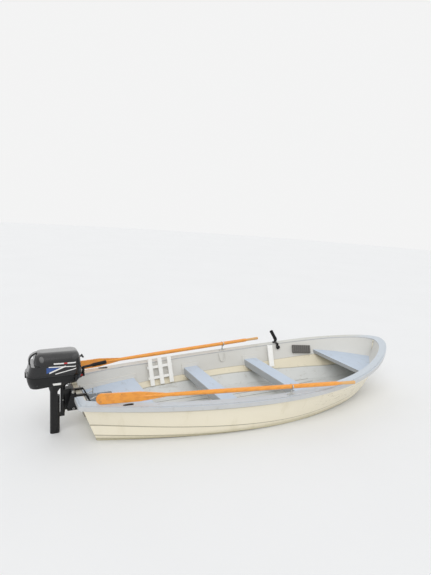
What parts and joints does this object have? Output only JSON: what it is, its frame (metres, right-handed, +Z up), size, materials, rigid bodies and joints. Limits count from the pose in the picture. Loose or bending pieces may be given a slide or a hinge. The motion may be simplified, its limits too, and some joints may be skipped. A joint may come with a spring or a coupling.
{
  "type": "rowing dinghy with small outboard motor",
  "caption": "Open round-bowed dinghy with a double-skinned hull, bench seats, stowed oars in rowlocks and a clamped-on tiller outboard motor.",
  "frame": {"origin": "on the waterline and the centreline, below the aft edge of the rim at the transom", "axes": "+X forward, +Y to port, +Z up"},
  "size_m": [4.391, 1.7056, 1.13],
  "materials": {
    "hull_cream": "satin gelcoat",
    "liner_grey": "satin gelcoat",
    "rim_grey": "satin gelcoat",
    "pad_wood": "painted board",
    "black_plastic": "matte",
    "red_plastic": "matte",
    "galvanised": "galvanised",
    "white_plastic": "matte",
    "dark_rubber": "matte",
    "motor_black": "satin black",
    "cowl_gloss": "gloss black",
    "engine_metal": "cast",
    "oar_wood": "varnished"
  },
  "bodies": {
    "hull": {"hull_shell": "hull_cream", "inner_liner": "liner_grey", "gunwale_rim": "rim_grey", "stern_bench": "liner_grey", "thwart_aft": "liner_grey", "thwart_rowing": "liner_grey", "bow_seat": "liner_grey", "keel_strip": "hull_cream", "transom_pad_outer": "pad_wood", "transom_pad_inner": "pad_wood", "drain_plug": "black_plastic", "bow_eye": "galvanised", "cleat_port": "black_plastic", "cleat_starboard": "black_plastic", "grating": "white_plastic", "side_board": "white_plastic", "side_panel": "dark_rubber", "rod_holder": "black_plastic", "rowlock_socket_starboard": "galvanised", "rowlock_socket_port": "galvanised", "clamp_bracket": "motor_black", "clamp_screws": "galvanised"},
    "tilt_frame": {"swivel_bracket": "motor_black"},
    "motor": {"drive_leg": "motor_black", "gearcase": "motor_black", "bottom_cowl": "motor_black", "top_cowl": "cowl_gloss", "cowl_seal": "dark_rubber", "engine_block": "engine_metal", "tiller_arm": "motor_black", "tiller_grip": "dark_rubber", "starter_handle": "black_plastic", "kill_switch": "red_plastic", "shift_lever": "black_plastic", "cowl_latch": "black_plastic"},
    "propeller": {"propeller": "motor_black"},
    "rowlock_starboard": {"rowlock_starboard": "galvanised"},
    "oar_starboard": {"oar_starboard": "oar_wood"},
    "rowlock_port": {"rowlock_port": "galvanised"},
    "oar_port": {"oar_port": "oar_wood"}
  },
  "joints": [
    {"name": "motor_tilt", "type": "hinge", "parent": "hull", "child": "tilt_frame", "pos_m": [0.008, 0, 0.414], "axis": [0, 1, 0], "range_deg": [0, 65]},
    {"name": "motor_steer", "type": "hinge", "parent": "tilt_frame", "child": "motor", "pos_m": [-0.07, 0, 0.32], "axis": [0, 0, 1], "range_deg": [-40, 40]},
    {"name": "propeller_spin", "type": "hinge", "parent": "motor", "child": "propeller", "pos_m": [-0.222, 0, -0.198], "axis": [1, 0, 0], "continuous": true},
    {"name": "rowlock_swing_starboard", "type": "hinge", "parent": "hull", "child": "rowlock_starboard", "pos_m": [2, -0.73009, 0.37168], "axis": [0, 0, 1], "range_deg": [0, 125]},
    {"name": "oar_pitch_starboard", "type": "hinge", "parent": "rowlock_starboard", "child": "oar_starboard", "pos_m": [2, -0.73009, 0.455], "axis": [0.1754, 0.9845, 0], "range_deg": [0, 6.2]},
    {"name": "rowlock_swing_port", "type": "hinge", "parent": "hull", "child": "rowlock_port", "pos_m": [2, 0.73009, 0.37168], "axis": [0, 0, -1], "range_deg": [0, 125]},
    {"name": "oar_pitch_port", "type": "hinge", "parent": "rowlock_port", "child": "oar_port", "pos_m": [2, 0.73009, 0.455], "axis": [-0.1392, 0.9903, 0], "range_deg": [0, 5.2]}
  ]
}
